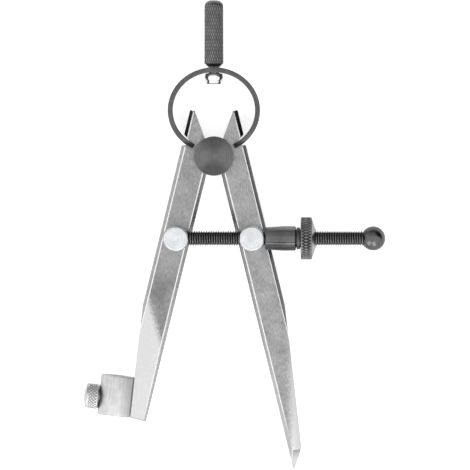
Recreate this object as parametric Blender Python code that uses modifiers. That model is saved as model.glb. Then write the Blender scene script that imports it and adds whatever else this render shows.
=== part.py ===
"""Toolmaker's spring dividers with a quick-adjusting nut and a pencil tube.

The tool lies on its back with its front face up. The origin is on the fulcrum's axis, at the rear face of
the fulcrum roller, +Y runs up to the handle and +Z rises out of the front face. Lengths are in metres.
"""

import math

import bmesh
import bpy
from mathutils import Matrix, Vector

# Running and seating clearance between two pieces that touch
GAP = 0.0003

# Legs: two flat bars, measured along each leg from the fulcrum and outwards from the line through it
LEG_SPREAD = math.radians(13.7)
LEG_LENGTH = 0.150
LEG_WIDTH = 0.0129
LEG_INSET = 0.0012
LEG_THICKNESS = 0.006
LEG_CHAMFER = 0.0016
LEG_RISE = 0.0162
LEG_TOP_FLAT = 0.0020
LEG_TAPER_START = 0.067
LEG_END_CHAMFER = 0.0005
SHORT_LEG_REACH = 0.1137
POINT_LENGTH = 0.0078
POINT_ROOT_WIDTH = 0.00545
POINT_WIDTH = 0.0007

# The legs' faces are ground down towards the foot, from a slanting line this far up each edge
SHORT_GRIND_OUTER = 0.0517
SHORT_GRIND_INNER = 0.0321
SHORT_GRIND_FALL = 0.0006
LONG_GRIND_OUTER = 0.0498
LONG_GRIND_INNER = 0.0059
LONG_GRIND_FALL = 0.0002

# Fulcrum roller: a spool whose waist the legs bear on
ROLLER_FLANGE_D = 0.0162
ROLLER_WAIST_D = 0.0100
ROLLER_EDGE = 0.0004

# Bow spring: a flat strip bent round an ellipse, its two ends forked over the legs
BOW_WIDTH = 0.0382
BOW_HEIGHT = 0.0356
BOW_RISE = 0.0189
STRIP_THICKNESS = 0.0020
STRIP_WIDTH = 0.0100
STRIP_EDGE = 0.0003
PRONG_REACH = 0.0050
NOTCH_DEPTH = 0.0022
NOTCH_MOUTH = 0.0040
NOTCH_INNER_MOUTH = 0.0018
PRONG_GROOVE = 0.0005

# Handle and the cap screw that holds it on the bow
HANDLE_D = 0.0076
HANDLE_LENGTH = 0.0275
HANDLE_TOP_ROUND = 0.0021
HANDLE_FOOT_CHAMFER = 0.0014
CAP_D = 0.0076
CAP_RIM_D = 0.0067
CAP_HEIGHT = 0.0033
NOSE_D = 0.0062
NOSE_HEIGHT = 0.0013
NOSE_EDGE = 0.0005
NOSE_DOME = 0.0002
CAP_SHANK_D = 0.0040
CAP_SHANK_GRIP = 0.0110

# Studs that carry the adjusting screw in front of the legs
STUD_DROP = 0.0367
STUD_INSET = 0.0060
STUD_D = 0.0102
STUD_HEIGHT = 0.0104
STUD_RIM = 0.0005
STUD_SHANK_D = 0.0060
STUD_DIMPLE_D = 0.0020
SPOT_FACE_D = 0.0109
SPOT_FACE_DEPTH = 0.0004
WASHER_D = 0.0090
WASHER_THICKNESS = 0.0010
RETAINER_HEAD_D = 0.0064
RETAINER_SHANK_D = 0.0030
RETAINER_GRIP = 0.0050
RETAINER_SLOT = 0.0009

# Adjusting screw, its ball and the pin that locks it in the left stud
SCREW_D = 0.0060
SCREW_HEIGHT = 0.0050
SCREW_LENGTH = 0.0776
SCREW_TAIL = 0.0036
SPIGOT_D = 0.0040
SPIGOT_LENGTH = 0.0048
BALL_D = 0.0101
BALL_FACE_D = 0.0064
PIN_D = 0.0015
PIN_LENGTH = 0.0094

# Quick-adjusting nut: two jaws in a knurled wheel, closed by a ring
JAW_CONE_LENGTH = 0.0077
JAW_NOSE_D = 0.0092
JAW_D = 0.0102
JAW_EDGE = 0.0004
JAW_BARREL_LENGTH = 0.0051
JAW_TAIL_D = 0.0076
JAW_TAIL_GRIP = 0.0035
JAW_SPLIT_TURN = math.radians(17.5)
JAW_RING_D = 0.0091
JAW_RING_LENGTH = 0.0014
WHEEL_D = 0.0175
WHEEL_LENGTH = 0.0046
WHEEL_EDGE = 0.0003
WHEEL_HUB_D = 0.0073
WHEEL_CONE_LENGTH = 0.0017

# Pencil tube on the short leg, and its clamp screw
TUBE_D = 0.0140
TUBE_BORE_D = 0.0080
TUBE_LENGTH = 0.0167
TUBE_EDGE = 0.0003
SADDLE_DEPTH = 0.0006
CLAMP_HEAD_D = 0.0104
CLAMP_HEAD_LENGTH = 0.0049
CLAMP_DOME = 0.0010
CLAMP_EDGE = 0.0006
CLAMP_GROOVE = 0.0003
CLAMP_BAND = 0.0010
CLAMP_SHANK_D = 0.0045
CLAMP_BITE = 0.0005
CLAMP_DROP = 0.00125

# Facets round a turned piece and along an arc, and the angle past which an edge looks sharp
ROUND_STEPS = 40
SMALL_ROUND_STEPS = 24
BOW_STEPS = 56
ARC_STEPS = 6
SHARP_ANGLE = math.radians(30)

# Heights above the surface that the tool lies on: the roller, the studs' screws and the tube all touch it
LEG_MID_Z = TUBE_D / 2
LEG_BACK_Z = LEG_MID_Z - LEG_THICKNESS / 2
LEG_FRONT_Z = LEG_MID_Z + LEG_THICKNESS / 2
SPOT_FACE_Z = LEG_FRONT_Z - SPOT_FACE_DEPTH
SCREW_Z = LEG_FRONT_Z + SCREW_HEIGHT

LEG_OUTER = LEG_INSET + LEG_WIDTH
LONG_LEG_REACH = LEG_LENGTH - LEG_RISE
POINT_START = LONG_LEG_REACH - POINT_LENGTH
LEG_TAPER_ANGLE = math.atan((LEG_WIDTH - POINT_ROOT_WIDTH) / (POINT_START - LEG_TAPER_START))
BOW_MID_A = (BOW_WIDTH - STRIP_THICKNESS) / 2
BOW_MID_B = (BOW_HEIGHT - STRIP_THICKNESS) / 2

STEEL = ("leg_steel", (0.42, 0.42, 0.42), 0.38)
SPRING_STEEL = ("spring_steel", (0.13, 0.13, 0.13), 0.45)
BLACK_STEEL = ("black_steel", (0.03, 0.03, 0.032), 0.40)
BRIGHT_PLATE = ("bright_plate", (0.72, 0.74, 0.76), 0.22)
CHROME = ("chrome", (0.80, 0.80, 0.80), 0.05)
BRUSHED_TUBE = ("brushed_tube", (0.60, 0.60, 0.60), 0.34)


def clear_scene():
    for obj in list(bpy.data.objects):
        bpy.data.objects.remove(obj, do_unlink=True)


def collection(name):
    made = bpy.data.collections.new(name)
    bpy.context.scene.collection.children.link(made)
    return made


def material(name, colour, roughness):
    made = bpy.data.materials.get(name)
    if made is None:
        made = bpy.data.materials.new(name)
        made.use_nodes = True
        shader = made.node_tree.nodes["Principled BSDF"]
        shader.inputs["Base Color"].default_value = (*colour, 1)
        shader.inputs["Roughness"].default_value = roughness
        shader.inputs["Metallic"].default_value = 1
    return made


clear_scene()
PARTS = collection("spring_dividers")
CUTTERS = collection("cutters")


def add_object(name, mesh, finish, matrix):
    """A piece in the parts collection or, with no finish, a hidden cutter."""
    obj = bpy.data.objects.new(name, mesh)
    if finish:
        PARTS.objects.link(obj)
        mesh.materials.append(material(*finish))
    else:
        CUTTERS.objects.link(obj)
        obj.hide_render = True
        obj.display_type = "WIRE"
    obj.matrix_world = matrix
    return obj


def cut(target, cutter):
    modifier = target.modifiers.new("Cut " + cutter.name, "BOOLEAN")
    modifier.operation = "DIFFERENCE"
    modifier.solver = "EXACT"
    modifier.object = cutter


def along(origin, axis):
    """The matrix that puts a piece's own +Z along axis, at origin."""
    turn = Vector((0, 0, 1)).rotation_difference(Vector(axis).normalized())
    return Matrix.Translation(origin) @ turn.to_matrix().to_4x4()


def arc(centre_r, centre_z, radius, start, end):
    """Points of a profile along an arc, with angles from the outward direction in degrees."""
    points = []
    for step in range(ARC_STEPS + 1):
        angle = math.radians(start + (end - start) * step / ARC_STEPS)
        points.append((centre_r + radius * math.cos(angle), centre_z + radius * math.sin(angle)))
    return points


def barrel_side(widest, rim, top, foot):
    """Points down a side that bulges from the rim's diameter to the widest one and back."""
    bulge, half = (widest - rim) / 2, (top - foot) / 2
    radius = (half ** 2 + bulge ** 2) / (2 * bulge)
    sweep = math.degrees(math.asin(half / radius))
    return arc(widest / 2 - radius, (top + foot) / 2, radius, sweep, -sweep)


def turned(name, profile, finish, matrix, closed=False, steps=ROUND_STEPS):
    """A turned piece from (radius, height) points that run down its outer side."""
    mesh = bpy.data.meshes.new(name)
    edges = [(i, i + 1) for i in range(len(profile) - 1)]
    if closed:
        edges.append((len(profile) - 1, 0))
    mesh.from_pydata([(radius, 0, height) for radius, height in profile], edges, [])
    obj = add_object(name, mesh, finish, matrix)
    screw = obj.modifiers.new("Turn", "SCREW")
    screw.steps = steps
    screw.render_steps = steps
    screw.use_merge_vertices = True
    screw.merge_threshold = 0.00001
    screw.use_smooth_shade = True
    return obj


def drill(target, diameter, start, end, steps=SMALL_ROUND_STEPS):
    """A round hole through target from start to end."""
    start, end = Vector(start), Vector(end)
    radius = diameter / 2
    profile = [(0, (end - start).length), (radius, (end - start).length), (radius, 0), (0, 0)]
    hole = turned(target.name + "_hole", profile, None, along(start, end - start), steps=steps)
    cut(target, hole)


def box_cutter(target, size, matrix):
    mesh = bpy.data.meshes.new(target.name + "_slot")
    solid = bmesh.new()
    bmesh.ops.create_cube(solid, size=1, matrix=Matrix.Diagonal((*size, 1)))
    solid.to_mesh(mesh)
    solid.free()
    cut(target, add_object(mesh.name, mesh, None, matrix))


def flat_outline(name, points, thickness):
    """A mesh of the closed outline, extruded evenly about its own plane."""
    curve = bpy.data.curves.new(name, "CURVE")
    curve.dimensions = "2D"
    curve.fill_mode = "BOTH"
    curve.extrude = thickness / 2
    spline = curve.splines.new("POLY")
    spline.points.add(len(points) - 1)
    for point, (x, y) in zip(spline.points, points):
        point.co = (x, y, 0, 1)
    spline.use_cyclic_u = True
    drawn = bpy.data.objects.new(name, curve)
    CUTTERS.objects.link(drawn)
    bpy.context.view_layer.update()
    graph = bpy.context.evaluated_depsgraph_get()
    mesh = bpy.data.meshes.new_from_object(drawn.evaluated_get(graph))
    bpy.data.objects.remove(drawn, do_unlink=True)
    solid = bmesh.new()
    solid.from_mesh(mesh)
    bmesh.ops.remove_doubles(solid, verts=solid.verts, dist=0.00001)
    bmesh.ops.dissolve_limit(solid, angle_limit=0.001, verts=solid.verts, edges=solid.edges)
    bmesh.ops.recalc_face_normals(solid, faces=solid.faces)
    solid.to_mesh(mesh)
    solid.free()
    return mesh


def chamfer_along(mesh, chain, width):
    """Chamfers both faces' edges that run from point to point of the chain."""
    solid = bmesh.new()
    solid.from_mesh(mesh)
    picked = []
    for edge in solid.edges:
        ends = [vertex.co for vertex in edge.verts]
        if abs(ends[0].z - ends[1].z) > GAP:
            continue
        for start, end in zip(chain, chain[1:]):
            first = min((ends[0].xy - Vector(start)).length, (ends[1].xy - Vector(start)).length)
            second = min((ends[0].xy - Vector(end)).length, (ends[1].xy - Vector(end)).length)
            if first < GAP / 10 and second < GAP / 10:
                picked.append(edge)
    bmesh.ops.bevel(solid, geom=picked, offset=width, segments=1, affect="EDGES", clamp_overlap=True)
    solid.to_mesh(mesh)
    solid.free()


def slice_off(mesh, point, normal):
    """Cuts away what lies beyond a plane and closes the mesh there."""
    solid = bmesh.new()
    solid.from_mesh(mesh)
    everything = solid.verts[:] + solid.edges[:] + solid.faces[:]
    bmesh.ops.bisect_plane(solid, geom=everything, dist=0.000001, plane_co=point, plane_no=normal,
                           clear_outer=True)
    rim = [edge for edge in solid.edges if edge.is_boundary]
    bmesh.ops.edgeloop_fill(solid, edges=rim)
    bmesh.ops.recalc_face_normals(solid, faces=solid.faces)
    solid.to_mesh(mesh)
    solid.free()


def triangulate(mesh):
    """Splits the faces into triangles, which stay exactly flat when holes are cut in them."""
    solid = bmesh.new()
    solid.from_mesh(mesh)
    bmesh.ops.triangulate(solid, faces=solid.faces)
    solid.to_mesh(mesh)
    solid.free()


def leg_matrix(side):
    """A leg's own frame at the fulcrum: x outwards times side, -y down the leg."""
    return Matrix.Translation((0, 0, LEG_MID_Z)) @ Matrix.Rotation(side * LEG_SPREAD, 4, "Z")


def on_leg(side, outwards, down, height=0.0):
    """A point of the leg in the tool's frame, with its height from the leg's middle plane."""
    return leg_matrix(side) @ Vector((side * outwards, -down, height))


def stud_centre(side):
    """The foot of a stud's axis on the surface that the tool lies on."""
    point = on_leg(side, LEG_INSET + STUD_INSET, STUD_DROP)
    return Vector((point.x, point.y, 0))


def outer_edge(down):
    """How far out the leg's outer edge lies at this distance down the leg."""
    return LEG_OUTER - max(0.0, down - LEG_TAPER_START) * math.tan(LEG_TAPER_ANGLE)


def bow_point(turn, offset=0.0):
    """A point of the bow: turn runs from its lowest point, and offset outwards from mid strip."""
    x, y = BOW_MID_A * math.sin(turn), -BOW_MID_B * math.cos(turn)
    normal = Vector((x / BOW_MID_A ** 2, y / BOW_MID_B ** 2)).normalized()
    return Vector((x, BOW_RISE + y)) + offset * normal


def bow_turn_at(depth):
    """The turn at which the right half of the strip lies this deep inside the right leg's outer edge."""
    across, up = BOW_MID_A * math.cos(LEG_SPREAD), BOW_MID_B * math.sin(LEG_SPREAD)
    reach = LEG_OUTER - depth - BOW_RISE * math.sin(LEG_SPREAD)
    return math.asin(reach / math.hypot(across, up)) + math.atan2(up, across)


BOW_END_TURN = bow_turn_at(PRONG_REACH)
BOW_WEB_TURN = bow_turn_at(NOTCH_DEPTH - GAP)


def strip_frame(side, turn):
    """The frame of the strip at this turn, with x along it towards the prongs and y across its thickness."""
    at = bow_point(turn)
    heading = math.atan2(-BOW_MID_B * math.sin(turn), -side * BOW_MID_A * math.cos(turn))
    return Matrix.Translation((side * at.x, at.y, LEG_MID_Z)) @ Matrix.Rotation(heading, 4, "Z")


def trim_leg(mesh, side, start, end):
    """Cuts the leg square to its faces, outside the line between two (outwards, down) points."""
    outwards, down = end[0] - start[0], end[1] - start[1]
    slice_off(mesh, (side * start[0], -start[1], 0), (side * down, outwards, 0))


def grind_leg(mesh, side, line, corner, fall):
    """Lowers both faces beyond a line across the leg, by the fall at the foot's corner."""
    half = LEG_THICKNESS / 2
    for face in (1, -1):
        start = Vector((side * LEG_OUTER, -line[0], face * half))
        end = Vector((side * LEG_INSET, -line[1], face * half))
        low = Vector((side * outer_edge(corner), -corner, face * (half - fall)))
        normal = (end - start).cross(low - start)
        slice_off(mesh, start, normal.normalized() * math.copysign(1, face * normal.z))


def chamfer_end(mesh, end, fall=0.0):
    """Chamfers the end of the leg at this y, where each face lies lower by the fall."""
    for face in (1, -1):
        height = LEG_THICKNESS / 2 - fall - LEG_END_CHAMFER
        slice_off(mesh, (0, end, face * height), (0, math.copysign(1, end), face))


def sharpen_point(mesh, side):
    """Tapers the foot of the long leg to its point, from the outer side and from both faces."""
    trim_leg(mesh, side, (outer_edge(POINT_START), POINT_START), (LEG_INSET + POINT_WIDTH, LONG_LEG_REACH))
    fall = (LEG_THICKNESS - POINT_WIDTH) / 2
    for face in (1, -1):
        slice_off(mesh, (0, -LONG_LEG_REACH, face * POINT_WIDTH / 2), (0, -fall, face * POINT_LENGTH))


def make_leg(name, side, reach):
    """A chamfered bar, tapered and ground towards its foot, then drilled and notched."""
    outline = [(LEG_OUTER, -LEG_RISE), (LEG_OUTER - LEG_TOP_FLAT, -LEG_RISE), (LEG_INSET, 0),
               (LEG_INSET, reach), (LEG_OUTER, reach)]
    points = [(side * outwards, -down) for outwards, down in outline]
    mesh = flat_outline(name, points, LEG_THICKNESS)
    chamfer_along(mesh, points[2:4], LEG_CHAMFER)
    chamfer_along(mesh, [points[4], points[0]], LEG_CHAMFER)
    trim_leg(mesh, side, (LEG_OUTER, LEG_TAPER_START), (outer_edge(POINT_START), POINT_START))
    chamfer_end(mesh, LEG_RISE)
    if side > 0:
        line = (reach - LONG_GRIND_OUTER, reach - LONG_GRIND_INNER)
        grind_leg(mesh, side, line, POINT_START, LONG_GRIND_FALL)
        sharpen_point(mesh, side)
    else:
        line = (reach - SHORT_GRIND_OUTER, reach - SHORT_GRIND_INNER)
        grind_leg(mesh, side, line, reach, SHORT_GRIND_FALL)
        chamfer_end(mesh, -reach, SHORT_GRIND_FALL)
    triangulate(mesh)
    leg = add_object(name, mesh, STEEL, leg_matrix(side))
    drill(leg, ROLLER_WAIST_D + 2 * GAP, (0, 0, 0), (0, 0, 2 * LEG_MID_Z), ROUND_STEPS)
    shank, spot = STUD_SHANK_D / 2 + GAP, SPOT_FACE_D / 2
    above = LEG_FRONT_Z + LEG_THICKNESS
    profile = [(0, above), (spot, above), (spot, SPOT_FACE_Z), (shank, SPOT_FACE_Z), (shank, 0), (0, 0)]
    cut(leg, turned(name + "_stud_seat", profile, None, Matrix.Translation(stud_centre(side))))
    cut_bow_seat(leg, side)
    return leg


def cut_bow_seat(leg, side):
    """The notch that the bow's end bears in, and a groove in each face for its prongs."""
    web = strip_frame(side, BOW_WEB_TURN)
    floor = STRIP_THICKNESS + 2 * GAP
    wedge = [(GAP, -side * floor / 2), (GAP, side * floor / 2), (-3 * NOTCH_DEPTH, side * 1.5 * NOTCH_MOUTH),
             (-3 * NOTCH_DEPTH, -side * 1.5 * NOTCH_INNER_MOUTH)]
    notch = flat_outline(leg.name + "_notch", wedge, 2 * LEG_THICKNESS)
    cut(leg, add_object(notch.name, notch, None, web))
    prong = strip_frame(side, (BOW_END_TURN + BOW_WEB_TURN) / 2)
    length = 2 * PRONG_REACH
    shift = (bow_point(BOW_END_TURN) - bow_point(BOW_WEB_TURN)).length / 2 + 2 * GAP - length / 2
    for face in (1, -1):
        size = (length, floor + NOTCH_MOUTH / 4, LEG_THICKNESS + 2 * PRONG_GROOVE)
        box_cutter(leg, size, prong @ Matrix.Translation((shift, 0, face * LEG_THICKNESS)))


def make_roller():
    flange, waist = ROLLER_FLANGE_D / 2, ROLLER_WAIST_D / 2
    half, neck = LEG_MID_Z, LEG_THICKNESS / 2 + GAP
    profile = [(0, half), (flange - ROLLER_EDGE, half), (flange, half - ROLLER_EDGE), (flange, neck),
               (waist, neck), (waist, -neck), (flange, -neck), (flange, ROLLER_EDGE - half),
               (flange - ROLLER_EDGE, -half), (0, -half)]
    return turned("fulcrum_roller", profile, SPRING_STEEL, Matrix.Translation((0, 0, LEG_MID_Z)))


def make_bow():
    """The strip with rounded long edges, then its fork slots and the hole for the cap screw."""
    sweep = 2 * math.pi - 2 * BOW_END_TURN
    turns = [BOW_END_TURN + sweep * step / BOW_STEPS for step in range(BOW_STEPS + 1)]
    outside = [bow_point(turn, STRIP_THICKNESS / 2)[:] for turn in turns]
    inside = [bow_point(turn, -STRIP_THICKNESS / 2)[:] for turn in turns]
    mesh = flat_outline("bow_spring", outside + inside[::-1], STRIP_WIDTH)
    chamfer_along(mesh, outside, STRIP_EDGE)
    chamfer_along(mesh, inside, STRIP_EDGE)
    bow = add_object("bow_spring", mesh, SPRING_STEEL, Matrix.Translation((0, 0, LEG_MID_Z)))
    slot = LEG_THICKNESS - 2 * PRONG_GROOVE + 2 * GAP
    length = 2 * PRONG_REACH
    for side in (1, -1):
        web = strip_frame(side, BOW_WEB_TURN)
        box_cutter(bow, (length, 2 * length, slot), web @ Matrix.Translation((length / 2, 0, 0)))
    top = BOW_RISE + BOW_MID_B
    reach = 2 * STRIP_THICKNESS
    drill(bow, CAP_SHANK_D + 2 * GAP, (0, top - reach, LEG_MID_Z), (0, top + reach, LEG_MID_Z))
    return bow


def bow_sag(radius, offset):
    """How far the bow's top face at this offset falls away at a radius from the middle."""
    curve = BOW_MID_A ** 2 / BOW_MID_B + offset
    return curve - math.sqrt(curve ** 2 - radius ** 2)


def make_handle():
    radius = HANDLE_D / 2
    foot = radius - HANDLE_FOOT_CHAMFER
    bore = CAP_SHANK_D / 2 + GAP
    depth = CAP_SHANK_GRIP + GAP
    crown = arc(radius - HANDLE_TOP_ROUND, HANDLE_LENGTH - HANDLE_TOP_ROUND, HANDLE_TOP_ROUND, 90, 0)
    profile = [(0, HANDLE_LENGTH)] + crown
    profile += [(radius, HANDLE_FOOT_CHAMFER), (max(foot, bore + GAP), 0), (bore, 0), (bore, depth),
                (0, depth)]
    seat = BOW_RISE + BOW_HEIGHT / 2 + GAP
    return turned("handle", profile, SPRING_STEEL, along((0, seat, LEG_MID_Z), (0, 1, 0)))


def make_handle_screw():
    """A bright barrel seated in the bow's curve, with a nose below it and a shank up into the handle."""
    top = BOW_RISE + BOW_HEIGHT / 2 - STRIP_THICKNESS - GAP
    shank_top = BOW_RISE + BOW_HEIGHT / 2 + GAP + CAP_SHANK_GRIP - top
    shank, rim, nose = CAP_SHANK_D / 2, CAP_RIM_D / 2, NOSE_D / 2
    foot = -CAP_HEIGHT - NOSE_HEIGHT
    profile = [(0, shank_top), (shank - GAP, shank_top), (shank, shank_top - GAP)]
    for radius in (shank, (shank + rim) / 2):
        profile.append((radius, -bow_sag(radius, -STRIP_THICKNESS / 2)))
    profile += barrel_side(CAP_D, CAP_RIM_D, -bow_sag(rim, -STRIP_THICKNESS / 2), -CAP_HEIGHT)
    profile += [(nose, -CAP_HEIGHT)] + arc(nose - NOSE_EDGE, foot + NOSE_EDGE, NOSE_EDGE, 0, -90)
    profile += [(0, foot - NOSE_DOME)]
    return turned("handle_screw", profile, CHROME, along((0, top, LEG_MID_Z), (0, 1, 0)))


def make_stud(name, side):
    """A post standing on the leg's face, with a shank through the leg."""
    radius, shank, tapped = STUD_D / 2, STUD_SHANK_D / 2, RETAINER_SHANK_D / 2 + GAP
    top, seat = LEG_FRONT_Z + STUD_HEIGHT, SPOT_FACE_Z + GAP
    dimple = STUD_DIMPLE_D / 2
    profile = [(0, top - dimple), (dimple, top), (radius - STUD_RIM, top), (radius, top - STUD_RIM),
               (radius, seat), (shank, seat), (shank, LEG_BACK_Z), (tapped, LEG_BACK_Z),
               (tapped, LEG_BACK_Z + RETAINER_GRIP), (0, LEG_BACK_Z + RETAINER_GRIP)]
    return turned(name, profile, BRIGHT_PLATE, Matrix.Translation(stud_centre(side)))


def make_stud_washer(name, side):
    top = LEG_BACK_Z - GAP
    outer, inner = WASHER_D / 2, RETAINER_SHANK_D / 2 + GAP
    profile = [(outer, top), (outer, top - WASHER_THICKNESS), (inner, top - WASHER_THICKNESS), (inner, top)]
    turned(name, profile, BRIGHT_PLATE, Matrix.Translation(stud_centre(side)), True, SMALL_ROUND_STEPS)


def make_stud_screw(name, side):
    """A slotted screw that holds the washer under the stud, its head on the surface that the tool lies on."""
    head, shank = RETAINER_HEAD_D / 2, RETAINER_SHANK_D / 2
    seat = LEG_BACK_Z - WASHER_THICKNESS - 2 * GAP
    tip = LEG_BACK_Z + RETAINER_GRIP - GAP
    profile = [(0, tip), (shank - GAP, tip), (shank, tip - GAP), (shank, seat), (head, seat), (head, GAP),
               (head - GAP, 0), (0, 0)]
    screw = turned(name, profile, BLACK_STEEL, Matrix.Translation(stud_centre(side)), steps=SMALL_ROUND_STEPS)
    slot = Matrix.Translation(stud_centre(side)) @ Matrix.Rotation(side * LEG_SPREAD, 4, "Z")
    box_cutter(screw, (2 * RETAINER_HEAD_D, RETAINER_SLOT, seat), slot)


def screw_line(past_left_stud):
    """A point on the adjusting screw's axis, this far to the right of the left stud's axis."""
    left = stud_centre(-1)
    return Vector((left.x + past_left_stud, left.y, SCREW_Z))


def cut_screw_hole(stud, side):
    """The left stud holds the screw's end in a blind hole, and the right one lets the screw slide through."""
    start = -SCREW_TAIL - GAP if side < 0 else stud_centre(1).x - stud_centre(-1).x - STUD_D
    drill(stud, SCREW_D + 2 * GAP, screw_line(start), screw_line(start + 2 * STUD_D))


def make_adjusting_screw():
    radius, spigot = SCREW_D / 2, SPIGOT_D / 2
    end = SCREW_LENGTH + SPIGOT_LENGTH
    profile = [(0, end), (spigot - GAP, end), (spigot, end - GAP), (spigot, SCREW_LENGTH - GAP),
               (radius, SCREW_LENGTH - GAP), (radius, GAP - SCREW_TAIL), (radius - GAP, -SCREW_TAIL),
               (0, -SCREW_TAIL)]
    place = along(screw_line(0), (1, 0, 0))
    return turned("adjusting_screw", profile, BLACK_STEEL, place, steps=SMALL_ROUND_STEPS)


def make_ball():
    """A ball with a small flat face towards the screw and a socket for the screw's spigot."""
    radius, face = BALL_D / 2, BALL_FACE_D / 2
    centre = math.sqrt(radius ** 2 - face ** 2)
    bore = SPIGOT_D / 2 + GAP
    lowest = -math.degrees(math.asin(centre / radius))
    rounds = 2 * ARC_STEPS
    profile = []
    for step in range(rounds + 1):
        angle = math.radians(90 + (lowest - 90) * step / rounds)
        profile.append((radius * math.cos(angle), centre + radius * math.sin(angle)))
    profile += [(bore, 0), (bore, SPIGOT_LENGTH + GAP), (0, SPIGOT_LENGTH + GAP)]
    profile[0] = (0, centre + radius)
    return turned("ball_knob", profile, BLACK_STEEL, along(screw_line(SCREW_LENGTH), (1, 0, 0)))


def make_screw_pin(stud, screw):
    """A pin across the left stud and through the screw's end."""
    middle = screw_line(0)
    half, reach = Vector((0, PIN_LENGTH / 2, 0)), Vector((0, STUD_D, 0))
    radius = PIN_D / 2
    profile = [(0, PIN_LENGTH), (radius, PIN_LENGTH), (radius, 0), (0, 0)]
    turned("screw_pin", profile, BLACK_STEEL, along(middle - half, (0, 1, 0)), steps=SMALL_ROUND_STEPS // 2)
    drill(stud, PIN_D + 2 * GAP, middle - reach, middle + reach, SMALL_ROUND_STEPS // 2)
    drill(screw, PIN_D + 2 * GAP, middle - reach, middle + reach, SMALL_ROUND_STEPS // 2)


# The nut's parts stand in line to the right of the right stud, which the jaws' nose bears on
NOSE_START = stud_centre(1).x - stud_centre(-1).x + STUD_D / 2 + GAP
BARREL_END = NOSE_START + JAW_CONE_LENGTH + JAW_BARREL_LENGTH
WHEEL_START = BARREL_END + JAW_RING_LENGTH + 2 * GAP
TAIL_END = WHEEL_START + JAW_TAIL_GRIP


def make_jaws():
    """Two half shells round the screw, split along its axis."""
    nose, barrel, tail, bore = JAW_NOSE_D / 2, JAW_D / 2, JAW_TAIL_D / 2, SCREW_D / 2 + GAP
    cone, full = JAW_CONE_LENGTH, BARREL_END - NOSE_START
    length = TAIL_END - NOSE_START
    profile = [(tail, length), (tail, full), (barrel - JAW_EDGE, full), (barrel, full - JAW_EDGE),
               (barrel, cone), (nose, JAW_EDGE), (nose - JAW_EDGE, 0), (bore, 0), (bore, length)]
    place = along(screw_line(NOSE_START), (1, 0, 0))
    for name, way in (("nut_jaw_upper", 1), ("nut_jaw_lower", -1)):
        jaw = turned(name, profile, SPRING_STEEL, place, True, SMALL_ROUND_STEPS)
        split = Matrix.Translation(screw_line(NOSE_START)) @ Matrix.Rotation(JAW_SPLIT_TURN, 4, "X")
        half = Matrix.Translation((0, way * (GAP / 2 - JAW_D), 0))
        box_cutter(jaw, (3 * length, 2 * JAW_D, 2 * JAW_D), split @ half)


def make_jaw_ring():
    outer, inner = JAW_RING_D / 2, JAW_TAIL_D / 2 + GAP
    profile = [(outer, JAW_RING_LENGTH), (outer, 0), (inner, 0), (inner, JAW_RING_LENGTH)]
    turned("nut_jaw_ring", profile, BLACK_STEEL, along(screw_line(BARREL_END + GAP), (1, 0, 0)), True,
           SMALL_ROUND_STEPS)


def make_nut_wheel():
    """A wheel with a counterbore over the jaws' tails and a coned face towards the ball."""
    rim, hub = WHEEL_D / 2, WHEEL_HUB_D / 2
    bore, pocket = SCREW_D / 2 + GAP, JAW_TAIL_D / 2 + GAP
    depth = JAW_TAIL_GRIP + GAP
    end = WHEEL_LENGTH + WHEEL_CONE_LENGTH
    profile = [(hub, end), (rim - WHEEL_EDGE, WHEEL_LENGTH), (rim, WHEEL_LENGTH - WHEEL_EDGE),
               (rim, WHEEL_EDGE), (rim - WHEEL_EDGE, 0), (pocket, 0), (pocket, depth), (bore, depth),
               (bore, end)]
    return turned("nut_wheel", profile, SPRING_STEEL, along(screw_line(WHEEL_START), (1, 0, 0)), True)


# The tube lies along the short leg's tapered edge, with its foot level with the leg's end
TUBE_TILT = LEG_SPREAD - LEG_TAPER_ANGLE
TUBE_AXIS = Vector((math.sin(TUBE_TILT), math.cos(TUBE_TILT), 0))
TUBE_OUT = Vector((-math.cos(TUBE_TILT), math.sin(TUBE_TILT), 0))
TUBE_EDGE_POINT = on_leg(-1, outer_edge(SHORT_LEG_REACH), SHORT_LEG_REACH)
TUBE_MIDDLE = TUBE_EDGE_POINT + TUBE_OUT * (TUBE_D / 2 + GAP - SADDLE_DEPTH) + TUBE_AXIS * (TUBE_LENGTH / 2)
CLAMP_AXIS_POINT = TUBE_MIDDLE - TUBE_AXIS * CLAMP_DROP


def make_pencil_tube(leg):
    outer, bore, half = TUBE_D / 2, TUBE_BORE_D / 2, TUBE_LENGTH / 2
    profile = [(bore + TUBE_EDGE, half), (outer - TUBE_EDGE, half), (outer, half - TUBE_EDGE),
               (outer, TUBE_EDGE - half), (outer - TUBE_EDGE, -half), (bore + TUBE_EDGE, -half),
               (bore, TUBE_EDGE - half), (bore, half - TUBE_EDGE)]
    tube = turned("pencil_tube", profile, BRUSHED_TUBE, along(TUBE_MIDDLE, TUBE_AXIS), True)
    drill(tube, CLAMP_SHANK_D + 2 * GAP, CLAMP_AXIS_POINT, CLAMP_AXIS_POINT + TUBE_OUT * TUBE_D)
    reach = TUBE_AXIS * (half + GAP)
    drill(leg, TUBE_D + 2 * GAP, TUBE_MIDDLE - 2 * reach, TUBE_MIDDLE + reach, ROUND_STEPS)
    return tube


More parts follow.
